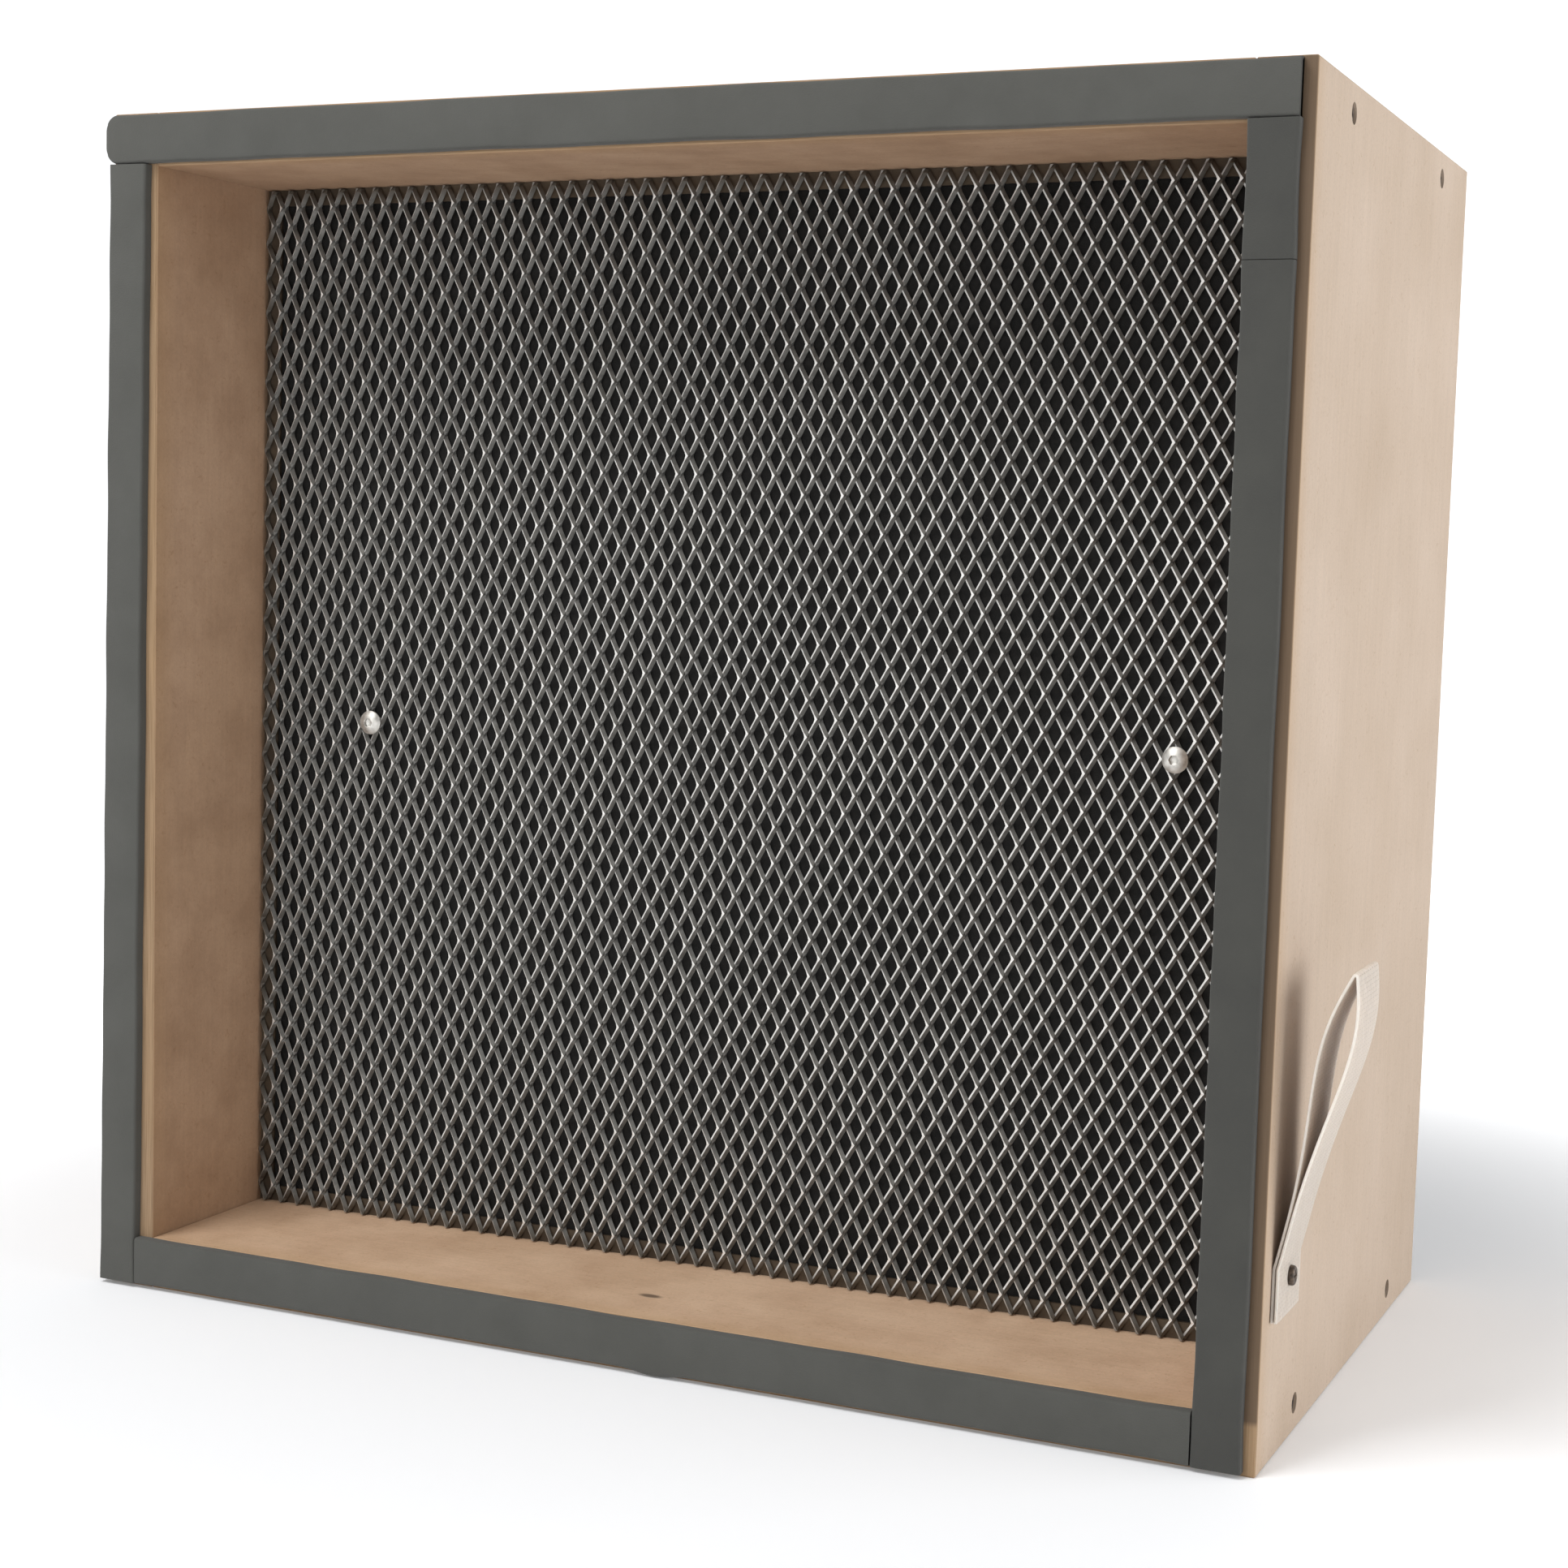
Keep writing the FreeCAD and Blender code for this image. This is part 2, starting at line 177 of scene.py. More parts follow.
def placeCamera(spec):
    # the camera's axes: right is forward x up, then both turn by the roll about the line of sight
    forward = Vector(spec["forward"]).normalized()
    right = forward.cross(Vector((0, 0, 1))).normalized()
    up = right.cross(forward)
    roll = math.radians(spec["roll"])
    rolledRight = math.cos(roll) * right + math.sin(roll) * up
    rolledUp = math.cos(roll) * up - math.sin(roll) * right
    data = bpy.data.cameras.new("photoCamera")
    data.lens = spec["lens"]
    data.sensor_width = spec["sensor"]
    body = bpy.data.objects.new("photoCamera", data)
    turn = Matrix((rolledRight, rolledUp, -forward)).transposed()
    body.matrix_world = Matrix.Translation(spec["place"]) @ turn.to_4x4()
    bpy.context.scene.collection.objects.link(body)
    bpy.context.scene.camera = body


placeCamera(camera)
print("camera placed")


# Stage and light, in metres

stage = {
    "floor": "#F7F8FA",
    "front": -6.0,
    "back": 2.6,  # where the paper starts to sweep up
    "halfWidth": 6.0,
    "top": 5.0,
    "sweepRadius": 0.8,
    "sweepSteps": 24,
    "liftNear": 0.1,  # glow that only the camera, gloss and glass see, beside the object
    "liftFar": 0.6,  # and away from it, where the paper is plain white
    "liftReach": (0.28, 0.62),  # from the middle of the object
    "world": 0.42,
    "lamps": {
        # name: place, aimed at, width, height, watts
        "sideSoftbox": ((1.7, 0.2, 0.45), (0.2, 0.0, 0.2), 1.8, 0.8, 15.4),
        "topFrontSoftbox": ((-0.6, -1.2, 1.85), (0.0, -0.1, 0.2), 1.0, 0.8, 25.0),
        "frontSoftbox": ((-0.35, -2.15, 0.7), (0.0, 0.0, 0.2), 1.2, 0.8, 11.0),
    },
}


def buildStage(spec):
    # a flat floor that sweeps up behind the object as a quarter circle, then stands straight
    angle = np.linspace(0, math.pi / 2, spec["sweepSteps"])[1:]
    back, radius = spec["back"], spec["sweepRadius"]
    x = np.array([-spec["halfWidth"], spec["halfWidth"]])
    y = np.concatenate([[spec["front"], back], back + radius * np.sin(angle), [back + radius]])
    z = np.concatenate([[0.0, 0.0], radius * (1 - np.cos(angle)), [spec["top"]]])
    points = np.stack(np.broadcast_arrays(x[None, :], y[:, None], z[:, None]), axis=-1)
    mesh = bpy.data.meshes.new("paperSweep")
    mesh.from_pydata(points.reshape(-1, 3).tolist(), [],
                     gridQuads(len(y), 2, wrapColumns=False).tolist())
    mesh.polygons.foreach_set("use_smooth", np.full(len(mesh.polygons), True))
    material, tree, shader = newMaterial("mattPaper", Base_Color=hexColour(spec["floor"]),
                                         Roughness=1.0, Specular_IOR_Level=0.0,
                                         Emission_Color=(1, 1, 1, 1))
    path = addNode(tree, "LightPath").outputs
    seen = path["Is Camera Ray"]
    for ray in ("Is Glossy Ray", "Is Transmission Ray"):
        seen = addNode(tree, "Math", links={0: seen, 1: path[ray]}, operation="MAXIMUM")
    place = addNode(tree, "TexCoord").outputs["Object"]
    away = addNode(tree, "VectorMath", links={0: place}, operation="LENGTH")
    near, far = spec["liftReach"]
    lift = addNode(tree, "MapRange", {"From Min": near, "From Max": far,
                                      "To Min": spec["liftNear"], "To Max": spec["liftFar"]},
                   {"Value": away}, interpolation_type="SMOOTHSTEP")
    glow = addNode(tree, "Math", links={0: seen, 1: lift}, operation="MULTIPLY")
    joinSockets(tree, shader, {"Emission Strength": glow})
    mesh.materials.append(material)
    sweep = bpy.data.objects.new("paperSweep", mesh)
    bpy.context.scene.collection.objects.link(sweep)

    world = bpy.data.worlds.new("studio")
    world.use_nodes = True
    bpy.context.scene.world = world
    tree = world.node_tree
    background = tree.nodes["Background"]
    background.inputs["Color"].default_value = (1, 1, 1, 1)
    path = addNode(tree, "LightPath").outputs
    strength = addNode(tree, "MapRange", {"To Min": spec["world"], "To Max": 1.0},
                       {"Value": path["Is Camera Ray"]})
    joinSockets(tree, background, {"Strength": strength})

    for name, (place, target, width, height, watts) in spec["lamps"].items():
        lamp = bpy.data.lights.new(name, "AREA")
        lamp.shape = "RECTANGLE"
        lamp.size, lamp.size_y, lamp.energy = width, height, watts
        body = bpy.data.objects.new(name, lamp)
        body.location = place
        body.rotation_mode = "QUATERNION"
        body.rotation_quaternion = (Vector(target) - Vector(place)).to_track_quat("-Z", "Y")
        bpy.context.scene.collection.objects.link(body)


buildStage(stage)
bpy.context.scene.view_settings.view_transform = "Standard"
print("stage and lamps made")


# Bare medium density fibreboard: pressed wood fibre, faces sanded, edges sawn.
# The eye sees an even pale brown face with faint clouds and flecks, and darker, lined edges.

fibreboard = {
    "face": "#C6B3A1",
    "faceDark": "#BCA894",
    # the recess colours are a painted warmer tone, standing in for the shade and bounce light
    # inside the recesses
    "recessShade": "#BE9E82",
    "recessShadeDark": "#AC8C71",
    "fleck": "#A58A6F",
    "edge": "#A38A70",
    "edgeDark": "#7E6852",
    "handledColour": "#B08B5C",
    "cloudSize": 70.0,  # mm, as the sizes below
    "mottleSize": 26.0,
    "fibreSize": 1.1,
    "fleckSize": 2.2,
    "streakSize": (1.6, 45.0),  # across and along the board
    "sawSize": (0.35, 28.0),  # the same for saw lines, drawn coarse enough to show
    "arris": 0.5,
    "handled": 14.0,  # behind the front edge, the strip that hands have yellowed
    "handledShare": 0.5,
    "fleckShare": 0.5,
    "fleckRange": (0.6, 0.78),  # noise at which a fleck starts and is full
    "recessFade": (0.6, 0.2),  # mm outside a recess's wall where its tone starts and is full
    "sawnFade": (-0.1, 0.3),  # mm from an arris, the same for the sawn edge
    "fibreTone": (0.94, 1.05),  # darkest and palest, as a factor on the colour
    "streakTone": (0.97, 1.03),
    "roughness": (0.74, 0.9),
}
# the bottom board's recess face is painted paler, a painted lit copy of the same board
litBottomBoard = {**fibreboard, "recessShade": "#D6B79A", "recessShadeDark": "#C6A588"}
# the battens are the same board painted much darker, as painted shade behind the sheet
shadedBattenBoard = {**fibreboard, "face": "#5C4E3E", "faceDark": "#493D30", "fleck": "#3C3226",
               "edge": "#524535", "edgeDark": "#3E3327", "recessShade": "#5C4E3E",
               "recessShadeDark": "#493D30"}
# a darker band painted on the right board's bare front edge, clear of a patch at the foot
rightEdgeDarkening = {"colour": "#5F4E3E", "amount": 0.85, "foot": 17.0}
bottomMark = {"colour": "#4A3A2C", "amount": 0.8, "place": (-4.0, -100.0, 19.0),
              "shape": (0.45, 1.0, 1.0), "radius": 2.6}


def drawnNoise(tree, place, size, axis, roughness):
    # noise drawn out along one axis, with cells of the given size across and along it
    scale = [1 / (size[0] * mm)] * 3
    scale["xyz".index(axis)] = 1 / (size[1] * mm)
    drawn = addNode(tree, "Mapping", {"Scale": scale}, {"Vector": place})
    return addNode(tree, "TexNoise", {"Scale": 1.0, "Detail": 3.0, "Roughness": roughness},
                   {"Vector": drawn})


def fibreboardMaterial(name, spec, lengthAxis, sawnEnds=False, edgeDarkening=None, mark=None):
    # clouds with flecks, times a painted warmer tone inside the recesses that stands in for their
    # shade and bounce light, times the tones of fibre and sander; then the sawn edges, the wear, a
    # darker band on a front edge and the marks are laid over by their masks
    material, tree, shader = newMaterial(name, IOR=1.45)
    place = addNode(tree, "TexCoord").outputs["Object"]
    axes = addNode(tree, "SeparateXYZ", links={0: place}).outputs
    cloud, fibre, fleck, mottle = (
        addNode(tree, "TexNoise", {"Scale": 1 / (spec[size] * mm), "Detail": detail,
                                   "Roughness": roughness, "Distortion": distortion},
                {"Vector": place})
        for size, detail, roughness, distortion in (
            ("cloudSize", 4.0, 0.55, 0.0), ("fibreSize", 3.0, 0.7, 0.0),
            ("fleckSize", 2.0, 0.5, 1.4), ("mottleSize", 5.0, 0.62, 0.0)))
    face = addNode(tree, "ValToRGB", links={"Fac": cloud},
                   stops=((0.3, spec["faceDark"]), (0.66, spec["face"])))
    begin, full = spec["fleckRange"]
    flecks = addNode(tree, "MapRange", {"From Min": begin, "From Max": full,
                                        "To Max": spec["fleckShare"]}, {"Value": fleck})
    flecked = addNode(tree, "Mix", {7: hexColour(spec["fleck"])},
                      {"Factor": flecks, 6: face}, data_type="RGBA")

    # inside the recesses the face is painted a warmer brown, as painted shade and bounce light
    upward = distanceFrom(tree, cadCase["height"] / 2 * mm, axes["Z"])
    begin, full = spec["recessFade"]
    recess = [addNode(tree, "MapRange", {"From Min": (cadCase[half] + begin) * mm,
                                         "From Max": (cadCase[half] + full) * mm},
                      {"Value": away})
              for half, away in (("innerHalfWidth", distanceFrom(tree, 0, axes["X"])),
                                 ("innerHalfHeight", upward))]
    recessShade = addNode(tree, "Math", links={0: recess[0], 1: recess[1]}, operation="MULTIPLY")
    warmer = [(position, np.divide(hexColour(spec[key]), hexColour(spec["face"])).tolist())
              for position, key in ((0.3, "recessShadeDark"), (0.62, "recessShade"))]
    warmer = addNode(tree, "ValToRGB", links={"Fac": mottle}, stops=warmer)
    recessShaded = addNode(tree, "Mix", links={"Factor": recessShade, 6: flecked, 7: warmer},
                      data_type="RGBA", blend_type="MULTIPLY")

    # the fibres' own tone, and the faint streaks that the sander leaves along the board
    streak = drawnNoise(tree, place, spec["streakSize"], lengthAxis, 0.55)
    tones = [addNode(tree, "MapRange", {"From Min": 0.3, "From Max": 0.7, "To Min": spec[key][0],
                                        "To Max": spec[key][1]}, {"Value": source})
             for key, source in (("fibreTone", fibre), ("streakTone", streak))]
    tone = addNode(tree, "Math", links={0: tones[0], 1: tones[1]}, operation="MULTIPLY")
    faceColour = addNode(tree, "Mix", {"Factor": 1.0}, {6: recessShaded, 7: tone},
                         data_type="RGBA", blend_type="MULTIPLY")

    # the sawn edges: fine lines along the cut, darker than the faces
    saw = drawnNoise(tree, place, spec["sawSize"], lengthAxis, 0.6)
    edge = addNode(tree, "ValToRGB", links={"Fac": saw},
                   stops=((0.32, spec["edgeDark"]), (0.62, spec["edge"])))
    edgeStart = cadCase["halfDepth"] - spec["arris"]
    ends = [(edgeStart, distanceFrom(tree, 0, axes["Y"]))]
    if sawnEnds:
        ends.append((cadCase["height"] / 2 - spec["arris"], upward))
    begin, full = spec["sawnFade"]
    masks = [addNode(tree, "MapRange", {"From Min": (arris + begin) * mm,
                                        "From Max": (arris + full) * mm},
                     {"Value": away}) for arris, away in ends]
    edgeMask = masks[0]
    for mask in masks[1:]:
        edgeMask = addNode(tree, "Math", links={0: edgeMask, 1: mask}, operation="MAXIMUM")
    colour = addNode(tree, "Mix", links={"Factor": edgeMask, 6: faceColour,
                                         7: edge}, data_type="RGBA")

    # hands and the bay's rails darken the strip behind the front edge
    handled = addNode(tree, "MapRange", {"From Min": -cadCase["halfDepth"] * mm,
                                         "From Max": (spec["handled"] - cadCase["halfDepth"]) * mm,
                                         "To Min": spec["handledShare"], "To Max": 0.0},
                      {"Value": axes["Y"]}, interpolation_type="SMOOTHSTEP")
    patchy = addNode(tree, "Math", links={0: handled, 1: cloud}, operation="MULTIPLY")
    layers = [(patchy, spec["handledColour"])]
    if edgeDarkening:
        # the bare front edge beside the foam is painted a darker brown, except a patch at the foot
        front = addNode(tree, "MapRange", {"From Min": -(edgeStart + 0.1) * mm,
                                           "From Max": -(edgeStart + 0.4) * mm,
                                           "To Max": edgeDarkening["amount"]}, {"Value": axes["Y"]})
        unmarked = addNode(tree, "MapRange", {"From Min": (edgeDarkening["foot"] - 1.0) * mm,
                                           "From Max": (edgeDarkening["foot"] + 1.0) * mm},
                        {"Value": axes["Z"]})
        darkened = addNode(tree, "Math", links={0: front, 1: unmarked}, operation="MULTIPLY")
        layers.append((darkened, edgeDarkening["colour"]))
    if mark:
        # a small dark rub mark on the face, an ellipsoid that fades from 0.4 of its radius
        away = addNode(tree, "VectorMath", {1: [v * mm for v in mark["place"]]}, {0: place},
                       operation="SUBTRACT")
        away = addNode(tree, "VectorMath", {1: mark["shape"]}, {0: away}, operation="MULTIPLY")
        away = addNode(tree, "VectorMath", links={0: away}, operation="LENGTH")
        spot = addNode(tree, "MapRange", {"From Min": mark["radius"] * mm * 0.4,
                                          "From Max": mark["radius"] * mm,
                                          "To Min": mark["amount"], "To Max": 0.0},
                       {"Value": away}, interpolation_type="SMOOTHSTEP")
        layers.append((spot, mark["colour"]))
    for mask, over in layers:
        colour = addNode(tree, "Mix", {7: hexColour(over)}, {"Factor": mask, 6: colour},
                         data_type="RGBA")

    low, high = spec["roughness"]
    rough = addNode(tree, "MapRange", {"To Min": low, "To Max": high}, {"Value": fibre})
    relief = addNode(tree, "Mix", links={"Factor": edgeMask, 2: fibre, 3: saw})
    bump = addNode(tree, "Bump", {"Strength": 0.35, "Distance": 0.1 * mm}, {"Height": relief})
    joinSockets(tree, shader, {"Base Color": colour, "Roughness": rough, "Normal": bump})
    return material


sidePanel = fibreboardMaterial("sandedFibreboardSide", fibreboard, "z", sawnEnds=True)
gripPanel = fibreboardMaterial("sandedFibreboardGripSide", fibreboard, "z", sawnEnds=True,
                               edgeDarkening=rightEdgeDarkening)
topPanel = fibreboardMaterial("sandedFibreboardTop", fibreboard, "x")
bottomPanel = fibreboardMaterial("sandedFibreboardBottom", litBottomBoard, "x", mark=bottomMark)
shadedBattenStrip = fibreboardMaterial("sawnFibreboardBattenShaded", shadedBattenBoard, "x")
for node, material in (("left_side_board", sidePanel), ("right_side_board", gripPanel),
                       ("top_board", topPanel), ("bottom_board", bottomPanel)):
    dressNode(node, material)
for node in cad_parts:
    if "batten" in node:
        dressNode(node, shadedBattenStrip)
print("case materials made")


# Raised expanded sheet: galvanised mild steel, slit and stretched in one stroke.
# The eye sees grey ribbons standing on edge, whose sheared front edges shine as a straight lattice;
# that shine is painted into the edges' near-white colour as a painted highlight.

expandedSheet = {
    "strands": 105,
    "rows": 30,
    "ribbonWidth": 1.68,  # at a knuckle, where two ribbons are still one piece
    "thickness": 1.15,
    "lean": 80.0,  # degrees between a knuckle and the plane of the sheet
    "knuckle": 2.6,
    "bow": 0.1,  # mm that the sheet waves in and out
    "bowWaves": ((31.0, 47.0, 0.0, 0.6), (17.0, -29.0, 1.3, 0.4)),  # mm across, mm up, phase, share
    "bowFade": 25.0,  # mm beside the boards where the waves die out
    "spangle": 3.0,
    # sheared sides painted near white as a painted highlight, rolled faces painted darker as
    # painted shade
    "shearedLit": "#F8F7F4",
    "shearedLitDull": "#E0DFDB",
    "face": "#888783",
    "faceShadedDull": "#6D6C68",
    "borderShadeWidth": 7.0,  # mm beside the boards where the sheet is painted darker and browner, as painted shade and a painted reflection of the boards
    "borderShadeColour": "#4E4437",
    "borderShadeShare": 0.85,
    "metallic": (0.4, 0.15),  # rolled face, sheared edge
    "roughness": (0.36, 0.56),
}


def steelMaterial(spec):
    # two ramps of spangle, one for rolled faces and one for sheared edges, picked by the faces' own
    # attribute; the sheared edges are painted near white as a painted highlight and the rolled
    # faces darker as painted shade; painted shade and a painted brown reflection of the boards lie
    # over both by the distance to the nearest board
    material, tree, shader = newMaterial("galvanisedExpandedSteel")
    place = addNode(tree, "TexCoord").outputs["Object"]
    spangle = addNode(tree, "TexNoise", {"Scale": 1 / (spec["spangle"] * mm), "Detail": 3.0},
                      {"Vector": place})
    face, edge = (addNode(tree, "ValToRGB", links={"Fac": spangle},
                          stops=((0.3, spec[dull]), (0.7, spec[unmarked])))
                  for dull, unmarked in (("faceShadedDull", "face"), ("shearedLitDull", "shearedLit")))
    shearedLit = addNode(tree, "Attribute", attribute_name="shearedLit").outputs["Fac"]
    colour = addNode(tree, "Mix", links={"Factor": shearedLit, 6: face, 7: edge}, data_type="RGBA")
    axes = addNode(tree, "SeparateXYZ", links={0: place}).outputs
    gaps = [addNode(tree, "Math", {0: cadCase[half] * mm},
                    {1: distanceFrom(tree, middle * mm, axes[axis])},
                    operation="SUBTRACT")
            for axis, middle, half in (("X", 0, "innerHalfWidth"),
                                       ("Z", cadCase["height"] / 2, "innerHalfHeight"))]
    nearest = addNode(tree, "Math", links={0: gaps[0], 1: gaps[1]}, operation="MINIMUM")
    borderShadeMask = addNode(tree, "MapRange", {"From Max": spec["borderShadeWidth"] * mm,
                                       "To Min": spec["borderShadeShare"], "To Max": 0.0},
                    {"Value": nearest}, interpolation_type="SMOOTHSTEP")
    borderShaded = addNode(tree, "Mix", {7: hexColour(spec["borderShadeColour"])},
                     {"Factor": borderShadeMask, 6: colour}, data_type="RGBA")
    metallic, rough = (addNode(tree, "MapRange", {"To Min": spec[key][0], "To Max": spec[key][1]},
                               {"Value": source})
                       for key, source in (("metallic", shearedLit), ("roughness", spangle)))
    joinSockets(tree, shader, {"Base Color": borderShaded, "Metallic": metallic, "Roughness": rough})
    return material


def sheetSurface(spec, low, high):
    # strand i, level k: where i + k is even the ribbon's right edge lies on its right neighbour's
    # left edge, and where it is odd the other way round. Each edge rests on the shared line for the
    # length of the knuckle, then runs straight to its other end, so a ribbon stands steep at the
    # knuckles and turns flatter between them. Corners are the two edges, plus and minus half the
    # gauge across the ribbon.
    strands, levels = spec["strands"], 2 * spec["rows"] + 1
    pitch = (high[0] - low[0]) / strands
    step = (high[2] - low[2]) / (levels - 1)
    lean = math.radians(spec["lean"])
    wide, deep = math.cos(lean) * spec["ribbonWidth"], math.sin(lean) * spec["ribbonWidth"]
    rest = spec["knuckle"] / 2
    turned = rest / (step - rest)  # share of its way that an edge has gone at the knuckle's end
    i = np.arange(strands)[:, None, None]
    k = np.arange(levels)[None, :, None]
    toRight = (i + k) % 2 == 0
    offset = np.array([-rest, 0.0, rest])[None, None, :]
    moved = np.array([turned, 0.0, turned])[None, None, :]
    leftLine = low[0] + i * pitch
    rightLine = leftLine + pitch
    # at a right knuckle the left edge is the moving one, at a left knuckle the right edge is
    run = pitch - wide
    leftX = np.where(toRight, rightLine - wide - run * moved, leftLine + 0 * moved)
    rightX = np.where(toRight, rightLine + 0 * moved, leftLine + wide + run * moved)
    leftY = np.where(toRight, -deep * (1 - moved), 0 * moved)
    rightY = np.where(toRight, 0 * moved, deep * (1 - moved))
    z = low[2] + k * step + offset + 0 * i
    # the first and last sections would stand past the sheet's ends
    leftX, rightX, leftY, rightY, z = (a.reshape(strands, -1)[:, 1:-1]
                                       for a in (leftX, rightX, leftY, rightY, z))
    middle = (low[1] + high[1]) / 2
    edges = np.stack([np.stack([leftX, leftY + middle, z], axis=-1),
                      np.stack([rightX, rightY + middle, z], axis=-1)])
    x, height = edges[..., 0], edges[..., 2]
    waves = sum(np.sin(x / across + height / up + phase) * share
                for across, up, phase, share in spec["bowWaves"])
    border = np.minimum.reduce([x - low[0], high[0] - x, height - low[2], high[2] - height])
    edges[..., 1] += spec["bow"] * waves * np.clip(border / spec["bowFade"], 0, 1)
    across = np.stack([edges[1, ..., 1] - edges[0, ..., 1], edges[0, ..., 0] - edges[1, ..., 0]],
                      axis=-1)
    across *= spec["thickness"] / 2 / np.linalg.norm(across, axis=-1, keepdims=True)
    across = np.stack([across[..., 0], across[..., 1], 0 * z], axis=-1)
    points = np.stack([edges[0] + across, edges[1] + across,
                       edges[1] - across, edges[0] - across], axis=2)
    sections = points.shape[1]
    caps = np.array([[3, 2, 1, 0], [0, 1, 2, 3]])
    caps[1] += (sections - 1) * 4
    single = np.concatenate([gridQuads(sections, 4), caps])
    quads = (single[None] + (np.arange(strands) * sections * 4)[:, None, None]).reshape(-1, 4)
    return points.reshape(-1, 3), quads


expandedSteel = steelMaterial(expandedSheet)
for name, node in (("frontExpandedSheet", "front_mesh"), ("rearExpandedSheet", "rear_mesh")):
    points, quads = sheetSurface(expandedSheet, *boxOf(node))
    sheet = makePiece(name, points, quads, expandedSteel, [node],
                      sharpAngle=0, weld=False)
    # every second quad round a ribbon is the narrow side that the shear left, and so are the caps
    sides = (len(quads) // expandedSheet["strands"] - 2) // 4
    narrow = np.concatenate([np.tile([0.0, 1.0, 0.0, 1.0], sides), [1.0, 1.0]])
    narrow = np.tile(narrow, expandedSheet["strands"])
    sheet.data.attributes.new("shearedLit", "FLOAT", "FACE").data.foreach_set("value", narrow)


# Foam gasket: closed-cell foam tape, cut with a knife and stuck on by hand.
# The eye sees a matt grey band with a fine cell texture, soft front edges and an unsteady line.

foam = {
    "colour": "#51514D",
    "colourDark": "#4B4B47",
    "rightColour": "#454541",  # the strips on the right side are darker
    "rightColourDark": "#3F3F3C",
    "cell": 0.55,
    "cloud": 24.0,
    "sideWidth": 16.2,
    "frontRound": 1.1,
    "backRound": 0.15,
    "cornerSteps": 5,
    "endDish": 0.5,  # how deep the knife leaves a cut end hollow
    "endSink": 0.6,  # share of that by which the front sinks there
    "nose": 4.5,
    "step": 3.0,
    "wobble": 0.22,
    "frontWobble": 0.06,
    "waveLengths": (28, 150),
    "fade": 12.0,  # mm at both ends over which the wobble dies out
    "bulge": (12.0, 27.0, 1.4),  # middle, width and drop of the bulge under the bottom strip
}


def foamMaterial(name, spec, light, dark):
    # a ramp of clouds for the colour, and the distance to the middles of small cells as relief
    material, tree, shader = newMaterial(name, Roughness=0.92, IOR=1.4, Sheen_Weight=0.12,
                                         Sheen_Roughness=0.6)
    place = addNode(tree, "TexCoord").outputs["Object"]
    cell = addNode(tree, "TexVoronoi", {"Scale": 1 / (spec["cell"] * mm), "Randomness": 1.0},
                   {"Vector": place}, feature="F1")
    cloud = addNode(tree, "TexNoise", {"Scale": 1 / (spec["cloud"] * mm), "Detail": 5.0,
                                       "Roughness": 0.6}, {"Vector": place})
    tone = addNode(tree, "ValToRGB", links={"Fac": cloud}, stops=((0.3, dark), (0.65, light)))
    bump = addNode(tree, "Bump", {"Strength": 0.5, "Distance": 0.12 * mm}, {"Height": cell})
    joinSockets(tree, shader, {"Base Color": tone, "Normal": bump})
    return material


def foamProfile(thickness, front, back, cornerSteps):
    # rounded rectangle as (side -1 or 1, inset from that side, height): a quarter circle at each
    # of its four corners
    side, inset, height = [], [], []
    turn = np.linspace(0, math.pi / 2, cornerSteps)
    for sign, radius, atFront in ((1, back, False), (1, front, True),
                                  (-1, front, True), (-1, back, False)):
        arc = turn if (sign > 0) == atFront else turn[::-1]
        drop = radius * (1 - np.sin(arc))
        side.append(np.full(cornerSteps, sign))
        inset.append(radius * (1 - np.cos(arc)))
        height.append(thickness - drop if atFront else drop)
    return np.concatenate(side), np.concatenate(inset), np.concatenate(height)


